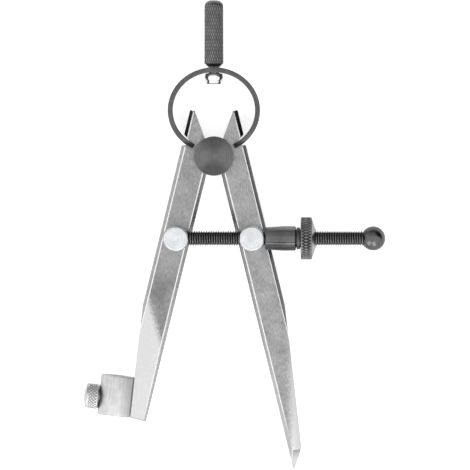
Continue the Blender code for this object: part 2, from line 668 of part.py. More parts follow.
def make_clamp_screw():
    """A head with a groove behind its domed end band, and a shank through the tube's wall."""
    head, shank = CLAMP_HEAD_D / 2, CLAMP_SHANK_D / 2
    length = CLAMP_HEAD_LENGTH
    tip = -(TUBE_D - TUBE_BORE_D) / 2 - GAP - CLAMP_BITE
    crown = ((head - CLAMP_EDGE) ** 2 + CLAMP_DOME ** 2) / (2 * CLAMP_DOME)
    sweep = math.degrees(math.asin((head - CLAMP_EDGE) / crown))
    profile = arc(0, length + CLAMP_DOME - crown, crown, 90, 90 - sweep)
    profile[0] = (0, length + CLAMP_DOME)
    groove, floor = length - CLAMP_BAND, head - CLAMP_GROOVE
    profile += [(head, length - CLAMP_EDGE), (head, groove), (floor, groove - CLAMP_GROOVE / 2),
                (floor, groove - CLAMP_GROOVE), (head, groove - 3 * CLAMP_GROOVE / 2), (head, CLAMP_EDGE),
                (head - CLAMP_EDGE, 0), (shank, 0), (shank, tip + CLAMP_EDGE), (shank - CLAMP_EDGE, tip),
                (0, tip)]
    seat = CLAMP_AXIS_POINT + TUBE_OUT * (TUBE_D / 2 + GAP)
    return turned("clamp_screw", profile, BRIGHT_PLATE, along(seat, TUBE_OUT))


def finish_pieces():
    """Applies every piece's modifiers, shades its round faces smooth and clears the cutters."""
    graph = bpy.context.evaluated_depsgraph_get()
    solids = {obj: bpy.data.meshes.new_from_object(obj.evaluated_get(graph)) for obj in PARTS.objects}
    for obj, mesh in solids.items():
        obj.modifiers.clear()
        obj.data = mesh
        mesh.shade_smooth()
        mesh.set_sharp_from_angle(angle=SHARP_ANGLE)
    for cutter in list(CUTTERS.objects):
        bpy.data.objects.remove(cutter, do_unlink=True)


def build():
    short_leg = make_leg("left_leg", -1, SHORT_LEG_REACH)
    make_leg("right_leg", 1, LONG_LEG_REACH)
    make_roller()
    make_bow()
    make_handle()
    make_handle_screw()
    left_stud = make_stud("left_stud", -1)
    right_stud = make_stud("right_stud", 1)
    cut_screw_hole(left_stud, -1)
    cut_screw_hole(right_stud, 1)
    for side, name in ((-1, "left"), (1, "right")):
        make_stud_washer(name + "_stud_washer", side)
        make_stud_screw(name + "_stud_screw", side)
    screw = make_adjusting_screw()
    make_screw_pin(left_stud, screw)
    make_ball()
    make_jaws()
    make_jaw_ring()
    make_nut_wheel()
    make_pencil_tube(short_leg)
    make_clamp_screw()
    finish_pieces()


build()
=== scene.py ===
"""Spring dividers: the finished pieces, with the floor, the light and the camera of the photograph.

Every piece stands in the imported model's frame, in metres: the origin is on the fulcrum's axis, at the rear
face of the fulcrum roller, +Y runs up to the handle and +Z rises out of the front face.
"""

import math

import bmesh
import bpy
from mathutils import Matrix, Vector


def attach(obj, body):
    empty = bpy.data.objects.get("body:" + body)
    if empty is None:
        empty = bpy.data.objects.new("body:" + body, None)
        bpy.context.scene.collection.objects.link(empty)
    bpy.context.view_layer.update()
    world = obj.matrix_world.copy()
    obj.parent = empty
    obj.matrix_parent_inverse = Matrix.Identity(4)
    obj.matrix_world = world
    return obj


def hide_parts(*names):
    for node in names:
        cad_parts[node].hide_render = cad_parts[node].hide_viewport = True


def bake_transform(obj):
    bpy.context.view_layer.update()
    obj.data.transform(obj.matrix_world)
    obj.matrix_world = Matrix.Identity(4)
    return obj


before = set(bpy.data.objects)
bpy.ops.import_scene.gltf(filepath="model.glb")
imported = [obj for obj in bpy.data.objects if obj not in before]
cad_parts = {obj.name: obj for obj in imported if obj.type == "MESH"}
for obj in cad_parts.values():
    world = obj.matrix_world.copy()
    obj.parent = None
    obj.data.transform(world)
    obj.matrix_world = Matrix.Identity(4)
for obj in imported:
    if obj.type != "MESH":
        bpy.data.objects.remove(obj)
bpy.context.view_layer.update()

# Clearance between pieces, the distance at which doubles merge, and the facets round a turned piece
GAP = 0.0003
MERGE = 0.000002
ROUND_STEPS = 96
SMALL_ROUND_STEPS = 48

# Edges: the angle past which they are rounded off, the steps of the round, and the angle that is shaded sharp
EASED_ANGLE = math.radians(35)
EASED_STEPS = 3
SHARP_ANGLE = math.radians(30)

# Knurls: facets and rows to a cell, and the height over which they die out at both ends
KNURL_CUTS = 12
KNURL_FADE = 0.0004

SIDES = ((-1, "left"), (1, "right"))

# The legs, measured along each leg from the fulcrum and outwards from the line through it
LEG_SPREAD = math.radians(13.7)
LEG_INSET = 0.0012
LEG_OUTER = 0.0141
LEG_THICKNESS = 0.006
LEG_CHAMFER = 0.0016
LEG_RISE = 0.0162
LEG_TOP_FLAT = 0.0020
LEG_TAPER_START = 0.067
LEG_END_CHAMFER = 0.0005
LEG_EASED_EDGE = 0.00026
SHORT_LEG_REACH = 0.1137
LONG_LEG_REACH = 0.1338
POINT_LENGTH = 0.0078
POINT_START = LONG_LEG_REACH - POINT_LENGTH
POINT_ROOT_WIDTH = 0.00545
POINT_WIDTH = 0.0007
LEG_TAPER = (LEG_OUTER - LEG_INSET - POINT_ROOT_WIDTH) / (POINT_START - LEG_TAPER_START)
LEG_MID_Z = 0.007

# Each leg's ground zone: how far down it starts on the outer and the inner edge, and its fall at the foot
SHORT_GRIND = (0.0620, 0.0816, 0.0006)
LONG_GRIND = (0.0840, 0.1279, 0.0002)

# The roller, the bow spring and what stands on it
ROLLER_WAIST = 0.0050
BOW_MID_A = 0.0181
BOW_MID_B = 0.0168
BOW_RISE = 0.0189
STRIP_THICKNESS = 0.0020
STRIP_WIDTH = 0.0100
STRIP_EDGE = 0.0003
BOW_STEPS = 120
PRONG_REACH = 0.0050
NOTCH_DEPTH = 0.0022
NOTCH_MOUTH = 0.0060
NOTCH_INNER_MOUTH = 0.0027
PRONG_GROOVE = 0.0005
PRONG_PLAY = 0.0010
HANDLE_SEAT = 0.0370
CAP_TOP = 0.0344

# The studs, the adjusting screw and the nut
STUD_X = 0.015687
STUD_Y = -0.033951
STUD_SHANK = 0.0030
SPOT_FACE_D = 0.0109
SPOT_FACE_Z = 0.0096
SCREW_Z = 0.0150
SCREW_START = -0.019287
SCREW_END = 0.061613
SCREW_BORE = 0.0033
THREAD_PITCH = 0.0010
NOSE_X = 0.021087
RING_X = 0.034187
WHEEL_X = 0.035887

# The pencil tube and its clamp screw
TUBE_MIDDLE = Vector((-0.040607, -0.099468, LEG_MID_Z))
TUBE_AXIS = Vector((0.113203, 0.993572, 0))
TUBE_OUT = Vector((-0.993572, 0.113203, 0))
TUBE_D = 0.0140
TUBE_LENGTH = 0.0167
CLAMP_DROP = 0.00125
CLAMP_AXIS_POINT = TUBE_MIDDLE - TUBE_AXIS * CLAMP_DROP
CLAMP_SEAT = CLAMP_AXIS_POINT + TUBE_OUT * (TUBE_D / 2 + GAP)


# Working with Blender's operators


def deselect_all():
    bpy.ops.object.select_all(action="DESELECT")


def work_on(piece):
    deselect_all()
    piece.select_set(True)
    bpy.context.view_layer.objects.active = piece


def edit():
    bpy.ops.object.mode_set(mode="EDIT")


def leave_edit():
    bpy.ops.object.mode_set(mode="OBJECT")


def name_piece(name):
    piece = bpy.context.object
    piece.name = name
    piece.data.name = name
    return piece


def along(origin, axis):
    """The matrix that puts a piece's own +Z along axis, at origin."""
    turn = Vector((0, 0, 1)).rotation_difference(Vector(axis).normalized())
    return Matrix.Translation(origin) @ turn.to_matrix().to_4x4()


def on_screw(start):
    """The place of a turned piece on the adjusting screw's axis, from this x."""
    return along((start, STUD_Y, SCREW_Z), (1, 0, 0))


def on_head(start):
    """The place of a turned piece on the tool's middle line, from this y."""
    return along((0, start, LEG_MID_Z), (0, 1, 0))


def at_stud(side):
    """The place of a piece on a stud's axis."""
    return Matrix.Translation((side * STUD_X, STUD_Y, 0))


def settle(piece, place):
    """Puts the piece's place into its mesh, so that the object itself stays at the origin."""
    work_on(piece)
    piece.matrix_world = place
    bpy.ops.object.transform_apply(location=True, rotation=True, scale=True)


def apply_modifiers(piece):
    work_on(piece)
    for modifier in list(piece.modifiers):
        bpy.ops.object.modifier_apply(modifier=modifier.name)


def shade(piece, angle=SHARP_ANGLE):
    work_on(piece)
    bpy.ops.object.shade_smooth_by_angle(angle=angle)


def ease_edges(piece, width):
    """Rounds every edge that is sharper than the eased angle."""
    modifier = piece.modifiers.new("Eased edges", "BEVEL")
    modifier.width = width
    modifier.segments = EASED_STEPS
    modifier.limit_method = "ANGLE"
    modifier.angle_limit = EASED_ANGLE
    modifier.use_clamp_overlap = False
    apply_modifiers(piece)


def ease_lengthways(piece, low, high, width, finish):
    """Rounds the lengthways edges whose faces meet at an angle between low and high, in degrees."""
    work_on(piece)
    edit()
    bpy.ops.mesh.select_mode(type="EDGE")
    bpy.ops.mesh.select_all(action="DESELECT")
    shell = bmesh.from_edit_mesh(piece.data)
    for edge in shell.edges:
        lengthways = abs((edge.verts[0].co - edge.verts[1].co).normalized().y) > 0.5
        edge.select_set(lengthways and low < math.degrees(edge.calc_face_angle(0)) < high)
    bmesh.update_edit_mesh(piece.data)
    bpy.ops.mesh.bevel(offset=width, segments=EASED_STEPS, affect="EDGES", material=finish,
                       clamp_overlap=False)
    bpy.ops.mesh.select_mode(type="VERT")
    leave_edit()


def cut_away(piece, cutter):
    """Cuts the cutter's shape out of the piece and removes the cutter."""
    modifier = piece.modifiers.new("Cut", "BOOLEAN")
    modifier.operation = "DIFFERENCE"
    modifier.solver = "EXACT"
    modifier.object = cutter
    apply_modifiers(piece)
    bpy.data.objects.remove(cutter, do_unlink=True)


def drill(piece, diameter, start, end, steps=SMALL_ROUND_STEPS):
    """Drills a round hole from start to end."""
    start, end = Vector(start), Vector(end)
    deselect_all()
    bpy.ops.mesh.primitive_cylinder_add(vertices=steps, radius=diameter / 2, depth=(end - start).length)
    cutter = name_piece("drill")
    settle(cutter, along((start + end) / 2, end - start))
    cut_away(piece, cutter)


def add_block(name, size, place):
    """A block of this size, with its middle at the place."""
    deselect_all()
    bpy.ops.mesh.primitive_cube_add(size=1)
    block = name_piece(name)
    settle(block, place @ Matrix.Diagonal((*size, 1)))
    return block


def mill(piece, size, place):
    """Mills the shape of a block out of the piece."""
    cut_away(piece, add_block("end_mill", size, place))


def slice_off(point, normal):
    """Cuts away what lies beyond a plane from the mesh in edit mode and closes it there."""
    bpy.ops.mesh.select_all(action="SELECT")
    bpy.ops.mesh.bisect(plane_co=point, plane_no=Vector(normal).normalized(), use_fill=True, clear_outer=True,
                        threshold=MERGE)


def clean_shell():
    """Merges doubles and turns the faces outwards, in edit mode."""
    bpy.ops.mesh.select_all(action="SELECT")
    bpy.ops.mesh.remove_doubles(threshold=MERGE)
    bpy.ops.mesh.normals_make_consistent(inside=False)


def cut_copy(piece, name, point, normal):
    """A copy of the piece under its own name, without what lies beyond a plane, and closed there."""
    half = piece.copy()
    half.data = piece.data.copy()
    bpy.context.scene.collection.objects.link(half)
    work_on(half)
    edit()
    slice_off(point, normal)
    clean_shell()
    leave_edit()
    name_piece(name)
    shade(half)
    return half


def arc(centre_r, centre_z, radius, start, end, steps=8):
    """Points of a profile along an arc, with angles from the outward direction in degrees."""
    points = []
    for step in range(steps + 1):
        angle = math.radians(start + (end - start) * step / steps)
        points.append((centre_r + radius * math.cos(angle), centre_z + radius * math.sin(angle)))
    return points


def rows(radius, top, foot, count):
    """Evenly spaced points down a straight side."""
    return [(radius, top + (foot - top) * step / count) for step in range(count + 1)]


def draw_line(points):
    """Draws a line of edges by extruding one vertex, and stays in edit mode with all of it selected."""
    deselect_all()
    bpy.ops.mesh.primitive_plane_add(size=GAP)
    edit()
    bpy.ops.mesh.merge(type="CENTER")
    bpy.ops.transform.translate(value=points[0])
    for here, there in zip(points, points[1:]):
        step = tuple(after - before for before, after in zip(here, there))
        bpy.ops.mesh.extrude_vertices_move(TRANSFORM_OT_translate={"value": step})
    bpy.ops.mesh.select_all(action="SELECT")


def draw_profile(profile):
    """Draws a line through (radius, height) points, ready to be swept round the Z axis."""
    draw_line([(radius, 0, height) for radius, height in profile])


def turn_on_lathe(name, profile, eased, steps=ROUND_STEPS, closed=False):
    """A turned piece about its own Z axis, from a profile that runs down its outer side."""
    draw_profile(profile + profile[:1] if closed else profile)
    bpy.ops.mesh.spin(steps=steps, angle=2 * math.pi, center=(0, 0, 0), axis=(0, 0, 1))
    clean_shell()
    leave_edit()
    piece = name_piece(name)
    if eased:
        ease_edges(piece, eased)
    return piece


def press_knurl(piece, radius, starts, cell, depth, low, high, narrow=2.0):
    """Presses two crossing sets of grooves into a turned side, and keeps how deep each point lies."""
    mesh = piece.data
    grooves = [0.0] * len(mesh.vertices)
    for vertex in mesh.vertices:
        x, y, height = vertex.co
        out = math.hypot(x, y)
        if out < 0.7 * radius or not low < height < high:
            continue  # the bore, and the plain ends
        turn = math.atan2(y, x) / (2 * math.pi) * starts
        rise = (height - low) / cell
        ridge = min(2 * abs((turn + rise) % 1 - 0.5), 2 * abs((turn - rise) % 1 - 0.5))
        fade = min(1.0, (height - low) / KNURL_FADE, (high - height) / KNURL_FADE)
        share = max(0.0, 1 - narrow * ridge) * fade
        grooves[vertex.index] = share
        shrink = (out - depth * share) / out
        vertex.co.x, vertex.co.y = x * shrink, y * shrink
    mesh.attributes.new("groove", "FLOAT", "POINT").data.foreach_set("value", grooves)


# Shader nodes, and groups of them that several finishes share


def add_node(tree, kind, inputs=None, **settings):
    """Adds a shader node, sets its properties, and links or sets its inputs."""
    made = tree.nodes.new("ShaderNode" + kind)
    for key, value in settings.items():
        setattr(made, key, value)
    for socket, value in (inputs or {}).items():
        if isinstance(value, bpy.types.NodeSocket):
            tree.links.new(value, made.inputs[socket])
        else:
            made.inputs[socket].default_value = value
    return made


def calculate(tree, operation, *values):
    """One step of arithmetic on values."""
    return add_node(tree, "Math", dict(enumerate(values)), operation=operation).outputs[0]


def calculate_vector(tree, operation, *vectors):
    """One step of arithmetic on vectors, which gives a value for a length or a dot product."""
    made = add_node(tree, "VectorMath", dict(enumerate(vectors)), operation=operation)
    return made.outputs["Value" if operation in ("LENGTH", "DOT_PRODUCT") else "Vector"]


def run_value(tree, value, start=0.0, end=1.0, first=0.0, last=1.0, kind="LINEAR"):
    """A value that runs from first at start to last at end, and no further."""
    inputs = {0: value, 1: start, 2: end, 3: first, 4: last}
    return add_node(tree, "MapRange", inputs, interpolation_type=kind).outputs[0]


def smooth_run(tree, value, start, end, first=0.0, last=1.0):
    return run_value(tree, value, start, end, first, last, "SMOOTHSTEP")


def spread_noise(tree, low, high, inputs, **settings):
    """Noise whose values from low to high are spread over the whole range."""
    return run_value(tree, add_node(tree, "TexNoise", inputs, **settings).outputs[0], low, high)


def new_group(name, inputs, output):
    """An empty group with these float or vector inputs and one float output, and both ends' sockets."""
    group = bpy.data.node_groups.new(name, "ShaderNodeTree")
    for socket, value in inputs.items():
        kind = "NodeSocketVector" if value is None else "NodeSocketFloat"
        made = group.interface.new_socket(socket, in_out="INPUT", socket_type=kind)
        if value is not None:
            made.default_value = value
    group.interface.new_socket(output, in_out="OUTPUT", socket_type="NodeSocketFloat")
    return group, group.nodes.new("NodeGroupInput").outputs, group.nodes.new("NodeGroupOutput").inputs


def make_drawn_grain():
    """Streaks along the vector's Y, as from drawing or grinding a bar lengthways."""
    inputs = {"Vector": None, "Across": 1500.0, "Along": 200.0}
    group, given, result = new_group("drawn_grain", inputs, "Streak")
    stretch = add_node(group, "CombineXYZ", {"X": given["Across"], "Y": given["Along"], "Z": given["Across"]})
    scaled = calculate_vector(group, "MULTIPLY", given["Vector"], stretch.outputs[0])
    streak = spread_noise(group, 0.3, 0.7, {"Vector": scaled, "Scale": 1.0, "Detail": 3.0, "Roughness": 0.6})
    group.links.new(streak, result["Streak"])
    return group


def make_turned_rings():
    """Uneven rings round the vector's Z axis, as a lathe tool leaves them."""
    group, given, result = new_group("turned_rings", {"Vector": None, "Spacing": 0.0004}, "Rings")
    flat = calculate_vector(group, "MULTIPLY", given["Vector"], (1, 1, 0))
    count = calculate(group, "DIVIDE", calculate_vector(group, "LENGTH", flat), given["Spacing"])
    rings = spread_noise(group, 0.3, 0.7, {"W": count, "Scale": 1.0, "Detail": 2.0}, noise_dimensions="1D")
    group.links.new(rings, result["Rings"])
    return group


def make_handling_marks():
    """Soft patches where hands and oil have dulled the surface."""
    group, given, result = new_group("handling_marks", {"Vector": None, "Scale": 120.0}, "Marks")
    inputs = {"Vector": given["Vector"], "Scale": given["Scale"], "Detail": 4.0, "Distortion": 0.4}
    group.links.new(spread_noise(group, 0.35, 0.65, inputs), result["Marks"])
    return group


def make_ground_zone():
    """1 past a slanting line down the leg, ragged at its edge; X is outwards and -Y down the leg."""
    inputs = {"Vector": None, "Slope": 1.5, "Start": 0.06, "Blur": 0.001, "Ragged": 0.5}
    group, given, result = new_group("ground_zone", inputs, "Mask")
    lean = add_node(group, "CombineXYZ", {"X": given["Slope"], "Y": -1.0}).outputs[0]
    down = calculate_vector(group, "DOT_PRODUCT", given["Vector"], lean)
    begin = calculate(group, "MULTIPLY_ADD", given["Slope"], LEG_OUTER, given["Start"])
    past = calculate(group, "DIVIDE", calculate(group, "SUBTRACT", down, begin), given["Blur"])
    rough = calculate(group, "ADD", given["Ragged"], -0.5)
    torn = calculate(group, "MULTIPLY_ADD", rough, 0.7, past)
    group.links.new(smooth_run(group, torn, -0.5, 0.5), result["Mask"])
    return group


GRAIN = make_drawn_grain()
RINGS = make_turned_rings()
MARKS = make_handling_marks()
GROUND = make_ground_zone()


# Finishes


PLAIN_TINT = (1.0, 1.0, 1.0)
PLATE_TINT = (0.975, 1.0, 1.02)


def new_finish(name, roughness):
    """A metal with its tree and the object's coordinates."""
    made = bpy.data.materials.new(name)
    made.use_nodes = True
    shader = made.node_tree.nodes["Principled BSDF"]
    shader.inputs["Roughness"].default_value = roughness
    shader.inputs["Metallic"].default_value = 1.0
    here = add_node(made.node_tree, "TexCoord").outputs["Object"]
    return made, made.node_tree, here


def marked_finish(name, roughness, scale):
    """The same with a mask of handling marks, finer with a larger scale."""
    made, tree, here = new_finish(name, roughness)
    return made, tree, here, group_value(tree, MARKS, Vector=here, Scale=scale)


def grey(level, tint=PLAIN_TINT):
    return tuple(level * share for share in tint) + (1.0,)


def blend_colours(tree, mask, low, high):
    """A colour that runs from low to high; each is a colour or another blend's output."""
    return add_node(tree, "Mix", {"Factor": mask, 6: low, 7: high}, data_type="RGBA").outputs[2]


def blend_greys(tree, mask, low, high, tint=PLAIN_TINT):
    return blend_colours(tree, mask, grey(low, tint), grey(high, tint))


def multiply_colours(tree, colour, other):
    return add_node(tree, "Mix", {"Factor": 1.0, 6: colour, 7: other}, data_type="RGBA",
                    blend_type="MULTIPLY").outputs[2]


def group_value(tree, group, **inputs):
    return add_node(tree, "Group", inputs, node_tree=group).outputs[0]


def up_tool(tree, here):
    """The height along the tool, from its foot to its handle."""
    return add_node(tree, "SeparateXYZ", {0: here}).outputs["Y"]


def colour_metal(tree, colour):
    tree.links.new(colour, tree.nodes["Principled BSDF"].inputs["Base Color"])


def polish_metal(tree, mask, dull, polished):
    """The roughness, which runs from dull to polished with the mask."""
    roughness = run_value(tree, mask, first=dull, last=polished)
    tree.links.new(roughness, tree.nodes["Principled BSDF"].inputs["Roughness"])


def raise_surface(tree, height, distance, strength):
    bump = add_node(tree, "Bump", {"Strength": strength, "Distance": distance, "Height": height})
    tree.links.new(bump.outputs[0], tree.nodes["Principled BSDF"].inputs["Normal"])


def leg_finish(name, side, levels, shade, ground, slope, start, blur):
    """Steel drawn along the leg and worn below the studs, with the ground zone towards its foot."""
    made, tree, here = new_finish(name, 0.36)
    own_noise = 0.05 * side
    inputs = {"Vector": here, "Location": (0, 0, own_noise), "Rotation": (0, 0, -LEG_SPREAD),
              "Scale": (side, 1, 1)}
    down_leg = add_node(tree, "Mapping", inputs).outputs[0]
    streaks = group_value(tree, GRAIN, Vector=down_leg, Across=2300.0, Along=520.0)
    fine = group_value(tree, GRAIN, Vector=down_leg, Across=4200.0, Along=900.0)
    marks = group_value(tree, MARKS, Vector=down_leg, Scale=140.0)
    below_studs = smooth_run(tree, up_tool(tree, here), -0.042, -0.060)
    patchy = blend_greys(tree, marks, 0.89, 1.09)
    worn = blend_greys(tree, marks, 0.82 * shade, 1.12 * shade)
    drawn = multiply_colours(tree, blend_greys(tree, streaks, *levels),
                             blend_colours(tree, below_studs, patchy, worn))
    drawn = multiply_colours(tree, drawn, blend_greys(tree, fine, 0.84, 1.16))
    fresh = blend_greys(tree, fine, ground - 0.05, ground + 0.05)
    zone = group_value(tree, GROUND, Vector=down_leg, Slope=slope, Start=start, Blur=blur, Ragged=fine)
    colour_metal(tree, blend_colours(tree, zone, drawn, fresh))
    polish_metal(tree, marks, 0.42, 0.33)
    raise_surface(tree, fine, 0.00002, 0.5)
    return made


def chamfer_finish(name, top, foot):
    """The legs' ground chamfers: smoother than the faces, with a painted reflection that is darker above than
    below.
    """
    made, tree, here, marks = marked_finish(name, 0.24, 330.0)
    # Painted reflection: the upper tone is darker than the lower one.
    low = smooth_run(tree, up_tool(tree, here), -0.045, -0.085)
    upper, lower = [blend_greys(tree, marks, 0.92 * tone, 1.08 * tone) for tone in (top, foot)]
    colour_metal(tree, blend_colours(tree, low, upper, lower))
    polish_metal(tree, marks, 0.28, 0.20)
    return made


def edge_finish():
    """The legs' burnished edges, pale enough to paint in part of their highlight lines, with less of it
    towards the point.
    """
    made, tree, here, marks = marked_finish("burnished_edge_with_highlight", 0.18, 700.0)
    # Part real burnish, part painted highlight; the edge turns to a plainer grey near the point.
    foot = smooth_run(tree, up_tool(tree, here), -0.100, -0.118)
    colour_metal(tree, blend_colours(tree, foot, blend_greys(tree, marks, 0.82, 0.98), grey(0.55)))
    return made


def tube_finish():
    """Steel rubbed along the tube."""
    made, tree, here, marks = marked_finish("rubbed_tube", 0.50, 420.0)
    tilt = math.atan2(TUBE_AXIS.x, TUBE_AXIS.y)
    upright = add_node(tree, "Mapping", {"Vector": here, "Rotation": (0, 0, tilt)}).outputs[0]
    streaks = group_value(tree, GRAIN, Vector=upright, Across=1500.0, Along=160.0)
    rubbed = blend_greys(tree, streaks, 0.60, 0.74)
    colour_metal(tree, multiply_colours(tree, rubbed, blend_greys(tree, marks, 0.95, 1.03)))
    polish_metal(tree, streaks, 0.55, 0.46)
    raise_surface(tree, streaks, 0.00001, 0.4)
    return made


def chrome_finish():
    """Polished chrome, with a painted dark reflection along where it turns away from view."""
    made, tree, _, marks = marked_finish("chrome", 0.05, 300.0)
    # Painted reflection: the colour turns dark grey where the surface turns away from view.
    turned_away = add_node(tree, "LayerWeight", {"Blend": 0.5}).outputs["Facing"]
    line = smooth_run(tree, turned_away, 0.88, 1.0)
    bright = blend_greys(tree, marks, 0.93, 0.97)
    colour_metal(tree, blend_colours(tree, line, bright, grey(0.22)))
    polish_metal(tree, marks, 0.08, 0.04)
    return made


def turned_finish(name, place, levels, roughness, spacing, height, tint=PLAIN_TINT, bands=None):
    """Metal turned about its place's own Z axis, with rings in its colour and in its surface."""
    made, tree, here, marks = marked_finish(name, roughness, 260.0)
    to_axis = place.inverted()
    inputs = {"Vector": here, "Location": to_axis.translation, "Rotation": to_axis.to_euler()}
    centred = add_node(tree, "Mapping", inputs).outputs[0]
    rings = group_value(tree, RINGS, Vector=centred, Spacing=spacing)
    colour = multiply_colours(tree, blend_greys(tree, rings, *levels, tint),
                              blend_greys(tree, marks, 0.90, 1.06))
    # Painted shading, where a finish is given it, multiplies the colour; on the jaws it is shade below and
    # light above.
    if bands:
        colour = multiply_colours(tree, colour, bands(tree, here))
    colour_metal(tree, colour)
    polish_metal(tree, marks, roughness + 0.05, roughness - 0.03)
    raise_surface(tree, rings, height, 0.6)
    return made


def jaw_painted_shading(tree, here):
    """Painted shade along the jaws' lower side and a painted highlight along the upper one."""
    rise = calculate(tree, "SUBTRACT", up_tool(tree, here), STUD_Y)
    lower = blend_greys(tree, smooth_run(tree, rise, -0.0018, -0.0026), 1.0, 0.55)
    return blend_colours(tree, smooth_run(tree, rise, 0.0012, 0.0030), lower, grey(1.6))


def plain_grey_finish(name, levels, roughness, scale=500.0):
    """Blackened or dull steel with faint patches; it also gives the clamp's neck its painted shade and the
    cap's nose its painted reflection.
    """
    made, tree, _, marks = marked_finish(name, roughness, scale)
    colour_metal(tree, blend_greys(tree, marks, *levels))
    polish_metal(tree, marks, roughness + 0.06, roughness - 0.04)
    return made


def spring_finish():
    """Dull spring steel, with painted shade on the prongs' ends."""
    made, tree, here, marks = marked_finish("spring_steel", 0.38, 260.0)
    # Painted shade: the strip turns near black low on the bow, at the prongs' ends in the legs' grooves.
    above_prongs = smooth_run(tree, up_tool(tree, here), 0.0048, 0.0066)
    dull = blend_greys(tree, marks, 0.115, 0.145)
    colour_metal(tree, blend_colours(tree, above_prongs, grey(0.030), dull))
    polish_metal(tree, marks, 0.44, 0.34)
    return made


def knurled_finish(name, groove, crest, roughness):
    """Metal with painted shade in the knurl's grooves and handling marks on its crests."""
    made, tree, _, marks = marked_finish(name, roughness, 350.0)
    # Painted shade: the colour runs dark as the knurl's grooves deepen.
    depth = add_node(tree, "Attribute", attribute_name="groove").outputs["Fac"]
    rubbed = blend_greys(tree, marks, 0.86 * crest, 1.12 * crest)
    colour_metal(tree, blend_colours(tree, depth, rubbed, grey(groove)))
    polish_metal(tree, marks, roughness + 0.05, roughness - 0.05)
    return made


def roller_finish():
    """Steel faced on a lathe: fine rings, and two darker fans at top and bottom, a painted sheen such as that
    face shows.
    """
    made, tree, here, marks = marked_finish("turned_roller", 0.36, 300.0)
    rings = group_value(tree, RINGS, Vector=here, Spacing=0.00042)
    # Painted sheen: the face turns darker in two fans about its up-and-down line, more so towards the rim.
    flat = calculate_vector(tree, "MULTIPLY", here, (1, 1, 0))
    upright = calculate(tree, "ABSOLUTE", up_tool(tree, calculate_vector(tree, "NORMALIZE", flat)))
    spread = run_value(tree, calculate_vector(tree, "LENGTH", flat), 0.0, 0.0045)
    painted_sheen = calculate(tree, "MULTIPLY", smooth_run(tree, upright, 0.45, 1.0), spread)
    light = blend_greys(tree, rings, 0.145, 0.19)
    dark = blend_greys(tree, rings, 0.078, 0.11)
    faced = blend_colours(tree, painted_sheen, light, dark)
    colour_metal(tree, multiply_colours(tree, faced, blend_greys(tree, marks, 0.92, 1.06)))
    polish_metal(tree, marks, 0.40, 0.33)
    raise_surface(tree, rings, 0.00001, 0.6)
    return made


def thread_finish():
    """Black oxide, with a painted highlight on the thread's crests."""
    made, tree, here, marks = marked_finish("thread_oxide", 0.30, 900.0)
    from_axis = calculate_vector(tree, "ADD", here, (0, -STUD_Y, -SCREW_Z))
    radius = calculate_vector(tree, "LENGTH", calculate_vector(tree, "MULTIPLY", from_axis, (0, 1, 1)))
    # Painted highlight: the colour turns paler towards the thread's crests.
    crest = run_value(tree, radius, 0.00245, 0.0030)
    rubbed = blend_greys(tree, marks, 0.12, 0.23)
    colour_metal(tree, blend_colours(tree, crest, grey(0.035), rubbed))
    polish_metal(tree, marks, 0.36, 0.26)
    return made


# Greys run from dark to light; after them come the roughness, and the spacing and height of lathe rings
LEFT_LEG_FACE = leg_finish("left_leg_face", -1, (0.26, 0.43), shade=0.80, ground=0.71, slope=1.72,
                           start=0.0610, blur=0.0062)
RIGHT_LEG_FACE = leg_finish("right_leg_face", 1, (0.29, 0.47), shade=0.98, ground=0.62, slope=3.90,
                            start=0.0760, blur=0.0160)
LEG_CHAMFER_FACE = chamfer_finish("ground_chamfer", 0.385, 0.50)
LEG_CHAMFER_PAINTED_SHADE = chamfer_finish("painted_shade_chamfer", 0.16, 0.30)
LEG_EDGE = edge_finish()
SPRING = spring_finish()
ROLLER_FACE = roller_finish()
KNURLED = knurled_finish("knurled_steel", 0.030, 0.23, 0.38)
JAW_STEEL = turned_finish("turned_jaws", on_screw(0), (0.130, 0.172), 0.30, 0.0006, 0.000005, bands=jaw_painted_shading)
CONE_FACE = turned_finish("turned_cone", on_screw(0), (0.38, 0.50), 0.24, 0.0004, 0.000004)
RING_STEEL = plain_grey_finish("ring_steel", (0.095, 0.125), 0.36)
THREAD_OXIDE = thread_finish()
BLACK_OXIDE = plain_grey_finish("black_oxide", (0.028, 0.040), 0.34)
BALL_OXIDE = plain_grey_finish("ball_oxide", (0.115, 0.150), 0.19, 180.0)
STUD_PLATE = {side: turned_finish("turned_stud_" + way, at_stud(side), (0.70, 0.84), 0.24, 0.00045, 0.000012,
                                  PLATE_TINT) for side, way in SIDES}
KNURLED_PLATE = knurled_finish("knurled_plate", 0.14, 0.78, 0.38)
CLAMP_NECK_PAINTED_SHADE = plain_grey_finish("clamp_neck_painted_shade", (0.24, 0.30), 0.30)
CLAMP_NOSE = turned_finish("turned_nose", along(CLAMP_SEAT, TUBE_OUT), (0.56, 0.68), 0.32, 0.0005, 0.000004)
CHROME = chrome_finish()
CAP_NOSE_PAINTED_REFLECTION = plain_grey_finish("cap_nose_painted_reflection", (0.26, 0.34), 0.22, 300.0)
TUBE_STEEL = tube_finish()


def seat(piece, body, slot, *finishes):
    """Gives the piece its finishes and its body, and hides the CAD node of the same name."""
    for finish in finishes:
        piece.data.materials.append(finish)
    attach(piece, body)
    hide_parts(piece.name.removesuffix("_finished"))


# The legs


def leg_matrix(side):
    """A leg's own frame at the fulcrum: x outwards times side, -y down the leg."""
    return Matrix.Translation((0, 0, LEG_MID_Z)) @ Matrix.Rotation(side * LEG_SPREAD, 4, "Z")


def outer_edge(down):
    return LEG_OUTER - max(0.0, down - LEG_TAPER_START) * LEG_TAPER


def slice_leg(side, start, end):
    """Cuts the leg square to its faces, outside the line between two (outwards, down) points."""
    outwards, down = end[0] - start[0], end[1] - start[1]
    slice_off((side * start[0], -start[1], 0), (side * down, outwards, 0))


